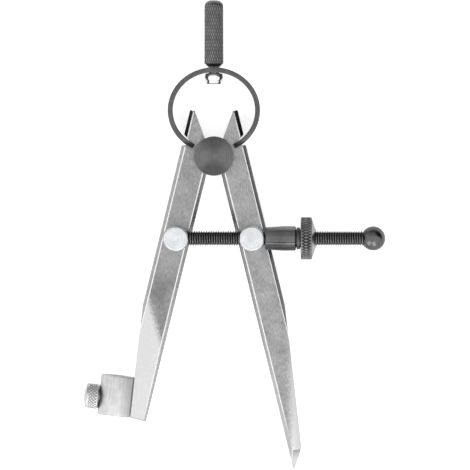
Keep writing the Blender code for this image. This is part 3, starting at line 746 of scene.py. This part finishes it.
def grind_faces(side, reach, grind):
    """Lowers both faces beyond a slanting line, by the fall at the foot's outer corner."""
    outer, inner, fall = grind
    half = LEG_THICKNESS / 2
    for face in (1, -1):
        start = Vector((side * LEG_OUTER, -outer, face * half))
        end = Vector((side * LEG_INSET, -inner, face * half))
        low = Vector((side * outer_edge(reach), -reach, face * (half - fall)))
        normal = (end - start).cross(low - start).normalized()
        slice_off(start, normal * math.copysign(1, face * normal.z))


def bow_point(turn):
    """A point of the bow's middle line; the turn runs from its lowest point."""
    return Vector((BOW_MID_A * math.sin(turn), BOW_RISE - BOW_MID_B * math.cos(turn)))


def bow_turn_at(depth):
    """The turn at which the right half of the strip lies this deep inside the right leg's outer edge."""
    across, up = BOW_MID_A * math.cos(LEG_SPREAD), BOW_MID_B * math.sin(LEG_SPREAD)
    reach = LEG_OUTER - depth - BOW_RISE * math.sin(LEG_SPREAD)
    return math.asin(reach / math.hypot(across, up)) + math.atan2(up, across)


BOW_END_TURN = bow_turn_at(PRONG_REACH)
BOW_WEB_TURN = bow_turn_at(NOTCH_DEPTH - GAP)


def strip_frame(side, turn):
    """The frame of the strip at this turn, with x along it towards the prongs and y across its thickness."""
    at = bow_point(turn)
    heading = math.atan2(-BOW_MID_B * math.sin(turn), -side * BOW_MID_A * math.cos(turn))
    return Matrix.Translation((side * at.x, at.y, LEG_MID_Z)) @ Matrix.Rotation(heading, 4, "Z")


def mill_bow_seat(leg, side):
    """The notch that the bow's web bears in, and a groove in each face for its prongs."""
    floor = STRIP_THICKNESS + 2 * GAP
    depth = 3 * NOTCH_DEPTH
    size = (depth, floor, 2 * LEG_THICKNESS)
    cutter = add_block("notch_cutter", size, Matrix.Translation((GAP - depth / 2, 0, 0)))
    for way, mouth in ((side, NOTCH_MOUTH), (-side, NOTCH_INNER_MOUTH)):
        edit()
        bpy.ops.mesh.select_all(action="DESELECT")
        leave_edit()
        for vertex in cutter.data.vertices:
            vertex.select = vertex.co.x < 0 and way * vertex.co.y > 0
        edit()
        bpy.ops.transform.translate(value=(0, way * (mouth - floor / 2), 0))
        leave_edit()
    settle(cutter, strip_frame(side, BOW_WEB_TURN))
    cut_away(leg, cutter)
    prong = strip_frame(side, (BOW_END_TURN + BOW_WEB_TURN) / 2)
    length = 2 * PRONG_REACH
    shift = (bow_point(BOW_END_TURN) - bow_point(BOW_WEB_TURN)).length / 2 + 2 * GAP - length / 2
    size = (length, floor + PRONG_PLAY, LEG_THICKNESS + 2 * PRONG_GROOVE)
    for face in (1, -1):
        mill(leg, size, prong @ Matrix.Translation((shift, 0, face * LEG_THICKNESS)))


def trim_bar(side, reach, grind):
    """Cuts the bar in edit mode to the leg's outline, chamfers, ground faces and end."""
    half = LEG_THICKNESS / 2
    slice_leg(side, (LEG_INSET, 0.0), (LEG_OUTER - LEG_TOP_FLAT, -LEG_RISE))
    for face in (1, -1):
        slice_off((side * LEG_OUTER, 0, face * (half - LEG_CHAMFER)), (side, 0, face))
        slice_off((side * LEG_INSET, 0, face * (half - LEG_CHAMFER)), (-side, 0, face))
        slice_off((0, LEG_RISE, face * (half - LEG_END_CHAMFER)), (0, 1, face))
    slice_off((side * LEG_OUTER, -LEG_TAPER_START, 0), (side, -LEG_TAPER, 0))
    grind_faces(side, POINT_START if side > 0 else reach, grind)
    if side > 0:
        slice_leg(side, (outer_edge(POINT_START), POINT_START), (LEG_INSET + POINT_WIDTH, reach))
        for face in (1, -1):
            slice_off((0, -reach, face * POINT_WIDTH / 2), (0, POINT_WIDTH / 2 - half, face * POINT_LENGTH))
    else:
        for face in (1, -1):
            slice_off((0, -reach, face * (half - grind[2] - LEG_END_CHAMFER)), (0, -1, face))
    clean_shell()


def finish_leg(leg, side):
    """The leg's finishes: face, edge, chamfer, and a fourth for the outer chamfers and the end's facets."""
    # On the right leg, the outer chamfers and the point's facets take a darker copy of the chamfer finish, as
    # painted shade.
    outer = LEG_CHAMFER_PAINTED_SHADE if side > 0 else LEG_CHAMFER_FACE
    for finish in (RIGHT_LEG_FACE if side > 0 else LEFT_LEG_FACE, LEG_EDGE, LEG_CHAMFER_FACE, outer):
        leg.data.materials.append(finish)
    for face in leg.data.polygons:
        across, up, front = face.normal
        if 0.2 < abs(front) < 0.97:
            face.material_index = 3 if side * across > 0.4 or up < -0.2 else 2
    ease_lengthways(leg, low=12, high=60, width=LEG_EASED_EDGE, finish=1)


def make_leg(name, side, reach, grind):
    """A bar with all its edges trimmed by plane cuts, then eased, drilled and notched."""
    width = LEG_OUTER - LEG_INSET
    middle = Matrix.Translation((side * (LEG_INSET + width / 2), (LEG_RISE - reach) / 2, 0))
    leg = add_block(name, (width, LEG_RISE + reach, LEG_THICKNESS), middle)
    edit()
    trim_bar(side, reach, grind)
    leave_edit()
    finish_leg(leg, side)
    settle(leg, leg_matrix(side))
    clear = Vector((0, 0, 2 * LEG_MID_Z))
    drill(leg, 2 * (ROLLER_WAIST + GAP), (0, 0, 0), clear, ROUND_STEPS)
    stud = Vector((side * STUD_X, STUD_Y, 0))
    spot = Vector((0, 0, SPOT_FACE_Z))
    drill(leg, 2 * (STUD_SHANK + GAP), stud, stud + spot + Vector((0, 0, GAP)))
    drill(leg, SPOT_FACE_D, stud + spot, stud + clear, ROUND_STEPS)
    mill_bow_seat(leg, side)
    if side < 0:
        reach_up = TUBE_AXIS * (TUBE_LENGTH / 2 + GAP)
        drill(leg, TUBE_D + 2 * GAP, TUBE_MIDDLE - 2 * reach_up, TUBE_MIDDLE + reach_up, ROUND_STEPS)
    shade(leg)
    return leg


left_leg = make_leg("left_leg_finished", -1, SHORT_LEG_REACH, SHORT_GRIND)
seat(left_leg, "left_leg", "leg_steel")
right_leg = make_leg("right_leg_finished", 1, LONG_LEG_REACH, LONG_GRIND)
seat(right_leg, "right_leg", "leg_steel")


# The head: roller, bow, handle and cap


def make_roller():
    """The spool that both legs bear on."""
    half, neck, flange = LEG_MID_Z, 0.0033, 0.0081
    profile = [(0, half), (flange, half), (flange, neck), (ROLLER_WAIST, neck), (ROLLER_WAIST, -neck),
               (flange, -neck), (flange, -half), (0, -half)]
    roller = turn_on_lathe("fulcrum_roller_finished", profile, eased=0.00018)
    settle(roller, Matrix.Translation((0, 0, LEG_MID_Z)))
    shade(roller)
    return roller


def make_bow():
    """A strip drawn as a line round the ellipse, raised in three bands, forked, thickened and eased."""
    sweep = 2 * math.pi - 2 * BOW_WEB_TURN
    turns = [BOW_END_TURN] + [BOW_WEB_TURN + sweep * step / BOW_STEPS for step in range(BOW_STEPS + 1)]
    turns += [2 * math.pi - BOW_END_TURN]
    draw_line([(*bow_point(turn), LEG_MID_Z - STRIP_WIDTH / 2) for turn in turns])
    slot = LEG_THICKNESS - 2 * PRONG_GROOVE + 2 * GAP
    for rise in ((STRIP_WIDTH - slot) / 2, slot, (STRIP_WIDTH - slot) / 2):
        bpy.ops.mesh.extrude_edges_move(TRANSFORM_OT_translate={"value": (0, 0, rise)})
    bpy.ops.mesh.select_all(action="DESELECT")
    bpy.ops.mesh.select_mode(type="FACE")
    leave_edit()
    bow = name_piece("bow_spring_whole")
    web = bow_point(BOW_WEB_TURN)
    for face in bow.data.polygons:
        face.select = face.center.y < web.y and abs(face.center.z - LEG_MID_Z) < slot / 4
    edit()
    bpy.ops.mesh.delete(type="FACE")
    bpy.ops.mesh.select_mode(type="VERT")
    clean_shell()
    leave_edit()
    thick = bow.modifiers.new("Thickness", "SOLIDIFY")
    thick.thickness = STRIP_THICKNESS
    thick.offset = 0
    thick.use_even_offset = True
    apply_modifiers(bow)
    ease_edges(bow, STRIP_EDGE)
    return bow


def seat_half_bow(bow, side, name):
    """The half of the bow on this side, closed at the top, given the spring's finish; the CAD bow is hidden.
    """
    half = cut_copy(bow, name, (0, 0, 0), (-side, 0, 0))
    half.data.materials.append(SPRING)
    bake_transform(half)
    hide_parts("bow_spring")


def make_handle():
    """The knurled rod, with a chamfered foot and a rounded top."""
    radius, length, chamfer, crown, foot = 0.00392, 0.0275, 0.0014, 0.0027, 0.0024
    starts, cell, depth = 24, 0.0030, 0.00016
    low, high = chamfer, length - crown
    profile = [(0, length)] + arc(radius - crown, high, crown, 90, 0, 10)
    profile += rows(radius, high, low, round((high - low) / (cell / KNURL_CUTS)))[1:]
    profile += [(foot, 0), (foot, -GAP), (0, -GAP)]
    handle = turn_on_lathe("handle_finished", profile, eased=0, steps=KNURL_CUTS * starts)
    press_knurl(handle, radius, starts, cell, depth, low, high + 0.6 * crown)
    settle(handle, on_head(HANDLE_SEAT))
    shade(handle, math.radians(40))
    return handle


def make_cap():
    """The bright barrel under the bow, with its nose, and the shank that goes up into the handle."""
    sag_curve = BOW_MID_A ** 2 / BOW_MID_B - STRIP_THICKNESS / 2
    shank, tip, rim, widest, nose, edge = 0.0020, 0.0139, 0.00335, 0.0038, 0.0031, 0.0004
    height, foot, dome = 0.0033, 0.0046, 0.0001
    top = sag_curve - math.sqrt(sag_curve ** 2 - rim ** 2)
    half, bulge = (height - top) / 2, widest - rim
    barrel = (half ** 2 + bulge ** 2) / (2 * bulge)
    sweep = math.degrees(math.asin(half / barrel))
    profile = [(0, tip), (shank, tip), (shank, 0), ((shank + rim) / 2, -top / 2)]
    profile += arc(widest - barrel, -top - half, barrel, sweep, -sweep, 16)
    profile += [(nose, -height)] + arc(nose - edge, edge - foot, edge, 0, -90)
    profile += [(0.6 * nose, -foot - 0.5 * dome), (0, -foot - dome)]
    cap = turn_on_lathe("handle_screw_finished", profile, eased=0.00008)
    # The nose's faces take a dull grey, as a painted dark reflection on the chrome.
    for face in cap.data.polygons:
        if face.center.z < edge - foot:
            face.material_index = 1
    settle(cap, on_head(CAP_TOP))
    shade(cap)
    return cap


seat(make_roller(), "head", "dark_steel", ROLLER_FACE)
whole_bow = make_bow()
seat_half_bow(whole_bow, 1, "bow_spring_right_half")
seat_half_bow(whole_bow, -1, "bow_spring_left_half")
bpy.data.objects.remove(whole_bow, do_unlink=True)
seat(make_handle(), "head", "dark_steel", KNURLED)
seat(make_cap(), "head", "chrome", CHROME, CAP_NOSE_PAINTED_REFLECTION)


# The studs and what holds them


def make_stud(name, side):
    """The post, with a turned dimple in its top, drilled across for the adjusting screw."""
    radius, top, base, back = 0.0051, 0.0204, 0.0099, LEG_MID_Z - LEG_THICKNESS / 2
    edge, dimple, dimple_depth, hole, hole_depth = 0.0005, 0.0006, 0.00012, 0.0018, 0.0050
    profile = [(0, top - dimple_depth), (dimple, top), (radius - edge, top), (radius, top - edge),
               (radius, base), (STUD_SHANK, base), (STUD_SHANK, back), (hole, back),
               (hole, back + hole_depth), (0, back + hole_depth)]
    stud = turn_on_lathe(name + "_finished", profile, eased=0.0001)
    settle(stud, at_stud(side))
    start, drilled = SCREW_START - GAP if side < 0 else 0.0, 0.030
    drill(stud, 2 * SCREW_BORE, (start, STUD_Y, SCREW_Z), (start + drilled, STUD_Y, SCREW_Z))
    shade(stud)
    return stud


def make_washer(name, side):
    """The washer between the leg's back and the stud's screw."""
    outer, inner, top, low = 0.0045, 0.0018, 0.0037, 0.0027
    profile = [(outer, top), (outer, low), (inner, low), (inner, top)]
    washer = turn_on_lathe(name + "_finished", profile, eased=0.00012, steps=SMALL_ROUND_STEPS, closed=True)
    settle(washer, at_stud(side))
    shade(washer)
    return washer


def make_stud_screw(name, side):
    """The slotted screw at the back, up into the stud, with its slot square to the leg."""
    head, shank, under, tip = 0.0032, 0.0015, 0.0024, 0.0087
    slot_width, slot_depth = 0.0009, 0.0012
    profile = [(0, tip), (shank, tip), (shank, under), (head, under), (head, 0), (0, 0)]
    screw = turn_on_lathe(name + "_finished", profile, eased=0.00025, steps=SMALL_ROUND_STEPS)
    place = at_stud(side) @ Matrix.Rotation(side * LEG_SPREAD, 4, "Z")
    settle(screw, place)
    mill(screw, (4 * head, slot_width, 2 * slot_depth), place)
    shade(screw)
    return screw


for side, way in SIDES:
    body = "screw" if side < 0 else "right_stud"
    seat(make_stud(way + "_stud", side), body, "bright_plate", STUD_PLATE[side])
    seat(make_washer(way + "_stud_washer", side), body, "bright_plate", STUD_PLATE[side])
    seat(make_stud_screw(way + "_stud_screw", side), body, "black_steel", BLACK_OXIDE)


# The adjusting screw and its ball


def make_adjusting_screw():
    """One turn of the thread's outline, swept along by the Screw modifier and cut square at both ends."""
    major, minor, facets = 0.00306, 0.00240, 36
    crest, root = 0.30 * THREAD_PITCH, 0.08 * THREAD_PITCH
    flank = (THREAD_PITCH - crest - root) / 2
    draw_profile([(minor, 0), (minor, root), (major, root + flank), (major, root + flank + crest),
                  (minor, THREAD_PITCH)])
    leave_edit()
    screw = name_piece("adjusting_screw_finished")
    length = SCREW_END - SCREW_START
    sweep = screw.modifiers.new("Thread", "SCREW")
    sweep.screw_offset = THREAD_PITCH
    sweep.iterations = math.ceil(length / THREAD_PITCH) + 2
    sweep.steps = facets
    sweep.render_steps = facets
    apply_modifiers(screw)
    trimmed = 1.5 * THREAD_PITCH
    edit()
    clean_shell()
    slice_off((0, 0, trimmed), (0, 0, -1))
    slice_off((0, 0, trimmed + length), (0, 0, 1))
    clean_shell()
    leave_edit()
    settle(screw, on_screw(SCREW_START - trimmed))
    shade(screw, math.radians(25))
    return screw


def make_ball():
    """The ball, with a flat face towards the nut and a blind hole for the screw's end."""
    radius, face, bore, depth = 0.00505, 0.0032, 0.0023, 0.0051
    centre = math.sqrt(radius ** 2 - face ** 2)
    lowest = -math.degrees(math.asin((centre + GAP) / radius))
    profile = arc(0, centre, radius, 90, lowest, 48)
    profile[0] = (0, centre + radius)
    profile += [(bore, -GAP), (bore, depth), (0, depth)]
    ball = turn_on_lathe("ball_knob_finished", profile, eased=0.0001)
    settle(ball, on_screw(SCREW_END + GAP))
    shade(ball)
    return ball


seat(make_adjusting_screw(), "screw", "black_steel", THREAD_OXIDE)
seat(make_ball(), "screw", "black_steel", BALL_OXIDE)
for pin_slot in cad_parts["screw_pin"].material_slots:
    pin_slot.material = BLACK_OXIDE


# The quick nut


def make_jaws():
    """The nut's body, turned in one piece with its bore and split into two halves."""
    nose, barrel, tail, edge = 0.0046, 0.0051, 0.0038, 0.0004
    cone, full, length = 0.0077, 0.0128, 0.0183
    profile = [(tail, length), (tail, full), (barrel - edge, full), (barrel, full - edge), (barrel, cone),
               (nose, edge), (nose - edge, 0), (SCREW_BORE, 0), (SCREW_BORE, length)]
    body = turn_on_lathe("jaws_whole", profile, eased=0.00012, closed=True)
    settle(body, on_screw(NOSE_X))
    axis_point = Vector((NOSE_X, STUD_Y, SCREW_Z))
    split = Matrix.Rotation(math.radians(17.5), 3, "X") @ Vector((0, 1, 0))
    jaws = []
    for name, way in (("nut_jaw_upper_finished", 1), ("nut_jaw_lower_finished", -1)):
        jaws.append(cut_copy(body, name, axis_point + way * split * GAP / 2, -way * split))
    bpy.data.objects.remove(body, do_unlink=True)
    return jaws


def make_ring():
    """The ring in the jaws' neck."""
    outer, inner, length = 0.00455, 0.0041, 0.0014
    profile = [(outer, length), (outer, 0), (inner, 0), (inner, length)]
    ring = turn_on_lathe("nut_jaw_ring_finished", profile, eased=0.0001, closed=True)
    settle(ring, on_screw(RING_X))
    shade(ring)
    return ring


def make_wheel():
    """The wheel, knurled between two plain rims, with a coned face towards the ball."""
    rim, hub, edge, length, end = 0.00875, 0.00365, 0.0002, 0.0046, 0.0063
    pocket, pocket_depth = 0.0041, 0.0038
    starts, cell, depth, plain, knurl_rows = 42, 0.0038, 0.00034, 0.00025, 36
    low, high = plain, length - plain
    profile = [(hub, end), (rim - edge, length), (rim, length - edge)] + rows(rim, high, low, knurl_rows)
    profile += [(rim, edge), (rim - edge, 0), (pocket, 0), (pocket, pocket_depth),
                (SCREW_BORE, pocket_depth), (SCREW_BORE, end)]
    wheel = turn_on_lathe("nut_wheel_finished", profile, eased=0, steps=KNURL_CUTS * starts, closed=True)
    press_knurl(wheel, rim, starts, cell, depth, low, high, narrow=2.2)
    for face in wheel.data.polygons:
        face.material_index = int(face.center.z > length)
    settle(wheel, on_screw(WHEEL_X))
    shade(wheel)
    return wheel


for jaw in make_jaws():
    seat(jaw, "nut", "dark_steel", JAW_STEEL)
seat(make_ring(), "nut", "black_steel", RING_STEEL)
seat(make_wheel(), "nut", "dark_steel", KNURLED, CONE_FACE)


# The pencil tube and its clamp screw


def make_tube():
    """The tube, with the clamp screw's hole through one wall."""
    outer, bore, half, edge, hole = TUBE_D / 2, 0.0040, TUBE_LENGTH / 2, 0.0003, 0.0051
    profile = [(outer, half), (outer, -half), (bore, -half), (bore, half)]
    tube = turn_on_lathe("pencil_tube_finished", profile, eased=edge, closed=True)
    settle(tube, along(TUBE_MIDDLE, TUBE_AXIS))
    drill(tube, hole, CLAMP_AXIS_POINT, CLAMP_AXIS_POINT + TUBE_OUT * TUBE_D)
    shade(tube)
    return tube


def make_clamp_screw():
    """The thumb screw: a knurled head with a groove, a domed end, and a neck and plain shank in painted
    shade.
    """
    head, shank, neck, tip, chamfer = 0.0052, 0.00225, 0.0047, -0.0038, 0.0004
    top, corner, dome = 0.0059, 0.0005, 0.0008
    starts, cell, depth = 24, 0.00145, 0.00022
    foot, low, high, shoulder = -0.0003, 0.0002, 0.0043, 0.00435
    groove, groove_top, nose_start = 0.0003, 0.0045, 0.0046
    flat = head - corner
    crown = (flat ** 2 + dome ** 2) / (2 * dome)
    profile = arc(0, top - crown, crown, 90, 90 - math.degrees(math.asin(flat / crown)), 10)
    profile[0] = (0, top)
    profile += arc(flat, top - dome - corner, corner, 80, 0)
    profile += [(head - groove, groove_top), (head - groove, shoulder)]
    profile += rows(head, shoulder, low, round((high - low) / (cell / KNURL_CUTS)))
    profile += [(neck, low), (neck, foot), (shank, foot), (shank, tip + chamfer), (shank - chamfer, tip),
                (0, tip)]
    screw = turn_on_lathe("clamp_screw_finished", profile, eased=0, steps=KNURL_CUTS * starts)
    press_knurl(screw, head, starts, cell, depth, low, high, narrow=1.9)
    # The neck and shank take a dull grey as painted shade between the head and the tube.
    for face in screw.data.polygons:
        if face.center.z < 0.9 * low:
            face.material_index = 1
        elif face.center.z > nose_start:
            face.material_index = 2
    settle(screw, along(CLAMP_SEAT, TUBE_OUT))
    shade(screw)
    return screw


seat(make_tube(), "left_leg", "brushed_tube", TUBE_STEEL)
seat(make_clamp_screw(), "clamp_screw", "bright_plate", KNURLED_PLATE, CLAMP_NECK_PAINTED_SHADE, CLAMP_NOSE)


# Floor, light and camera


def make_floor():
    """A pale floor that shows white, with a soft shadow."""
    across, below = 4, 0.0002
    pale, seen, mirrored = 0.80, 0.70, 0.25
    deselect_all()
    bpy.ops.mesh.primitive_plane_add(size=across, location=(0, 0, -below))
    floor = name_piece("floor")
    surface = bpy.data.materials.new("pale_floor")
    surface.use_nodes = True
    tree = surface.node_tree
    tree.nodes.clear()
    matte = add_node(tree, "BsdfDiffuse", {"Color": grey(pale)})
    rays = add_node(tree, "LightPath").outputs
    reflected = calculate(tree, "MAXIMUM", rays["Is Glossy Ray"], rays["Is Transmission Ray"])
    strength = calculate(tree, "MULTIPLY_ADD", rays["Is Camera Ray"], seen,
                         calculate(tree, "MULTIPLY", reflected, mirrored))
    glow = add_node(tree, "Emission", {"Strength": strength})
    both = add_node(tree, "AddShader", {0: matte.outputs[0], 1: glow.outputs[0]})
    add_node(tree, "OutputMaterial", {"Surface": both.outputs[0]})
    floor.data.materials.append(surface)


def make_world():
    """A studio that is bright overhead and to the left, lower to the right and beyond the handle."""
    world = bpy.data.worlds.new("studio")
    world.use_nodes = True
    tree = world.node_tree
    tree.nodes.clear()
    way = add_node(tree, "TexCoord").outputs["Generated"]
    level = 1.06
    screens = (((0.90, 0.43, 0.0), 0.72, 0.97, 0.14), ((0.70, 0.62, 0.35), 0.84, 0.96, 0.08),
               ((0, 1, 0), 0.25, 0.58, 0.60), ((0, 1, 0), 0.70, 0.97, 0.35))
    for direction, begin, end, low in screens:
        facing = calculate_vector(tree, "DOT_PRODUCT", way, direction)
        level = calculate(tree, "MULTIPLY", smooth_run(tree, facing, begin, end, 1.0, low), level)
    camera = add_node(tree, "LightPath").outputs["Is Camera Ray"]
    strength = run_value(tree, camera, first=level, last=1.0)
    background = add_node(tree, "Background", {"Color": grey(1.0), "Strength": strength})
    add_node(tree, "OutputWorld", {"Surface": background.outputs[0]})
    bpy.context.scene.world = world


def soft_light(name, place, size, power):
    """A lamp with a large face, turned towards the middle of the tool."""
    light = bpy.data.lights.new(name, "AREA")
    light.shape = "RECTANGLE"
    light.size, light.size_y = size
    light.energy = power
    lamp = bpy.data.objects.new(name, light)
    bpy.context.scene.collection.objects.link(lamp)
    lamp.location = place
    lamp.rotation_euler = (TOOL_MIDDLE - Vector(place)).to_track_quat("-Z", "Y").to_euler()


def make_camera():
    """A long lens over the tool, which leans a little from the handle's side."""
    across, up = 0.00875, -0.03276
    distance, view_width, sensor, lean = 2.0, 0.1949, 36, math.radians(1.5)
    lens = bpy.data.cameras.new("camera")
    camera = bpy.data.objects.new("camera", lens)
    bpy.context.scene.collection.objects.link(camera)
    camera.location = (across, up + distance * math.sin(lean), LEG_MID_Z + distance * math.cos(lean))
    camera.rotation_euler = (-lean, 0, 0)
    lens.sensor_width = sensor
    lens.lens = sensor * distance / view_width
    lens.clip_start, lens.clip_end = 0.01, 10
    bpy.context.scene.camera = camera


TOOL_MIDDLE = Vector((0.005, -0.03, 0))
make_floor()
make_world()
soft_light("near_left_lamp", (-0.30, -0.46, 0.30), (0.30, 0.46), 0.62)
soft_light("near_right_lamp", (0.13, -0.48, 0.34), (0.24, 0.46), 0.50)
make_camera()
bpy.context.scene.view_settings.view_transform = "Standard"
